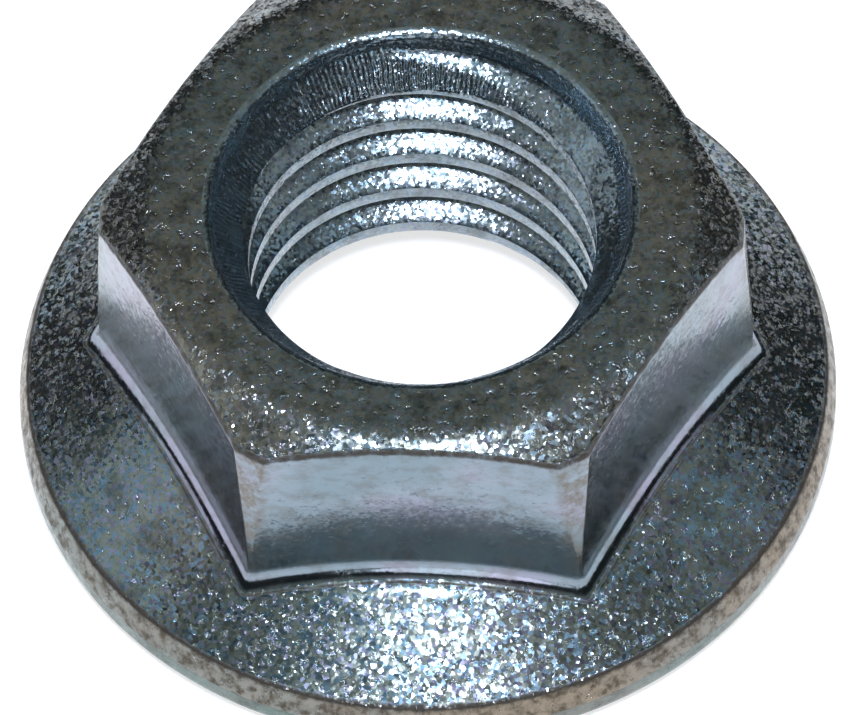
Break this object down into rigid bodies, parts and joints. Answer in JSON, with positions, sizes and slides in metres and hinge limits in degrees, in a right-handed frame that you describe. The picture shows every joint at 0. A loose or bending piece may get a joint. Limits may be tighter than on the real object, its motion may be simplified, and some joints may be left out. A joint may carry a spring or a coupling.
{
  "type": "serrated flange nut",
  "caption": "One-piece hexagon flange nut with a coned washer flange, ratchet serrations under it and a threaded bore.",
  "frame": {"origin": "on the thread axis, in the plane of the serration tips that the nut bears on", "axes": "+Z along the thread axis, from the flange towards the hexagon's top; two of the hexagon's flats face -Y and +Y"},
  "size_m": [0.0202, 0.0202, 0.009],
  "materials": {
    "zinc_plated_steel": "bright zinc plated, clear blue passivated, used and grimy"
  },
  "bodies": {
    "root": {"flange_nut": "zinc_plated_steel"}
  },
  "joints": []
}
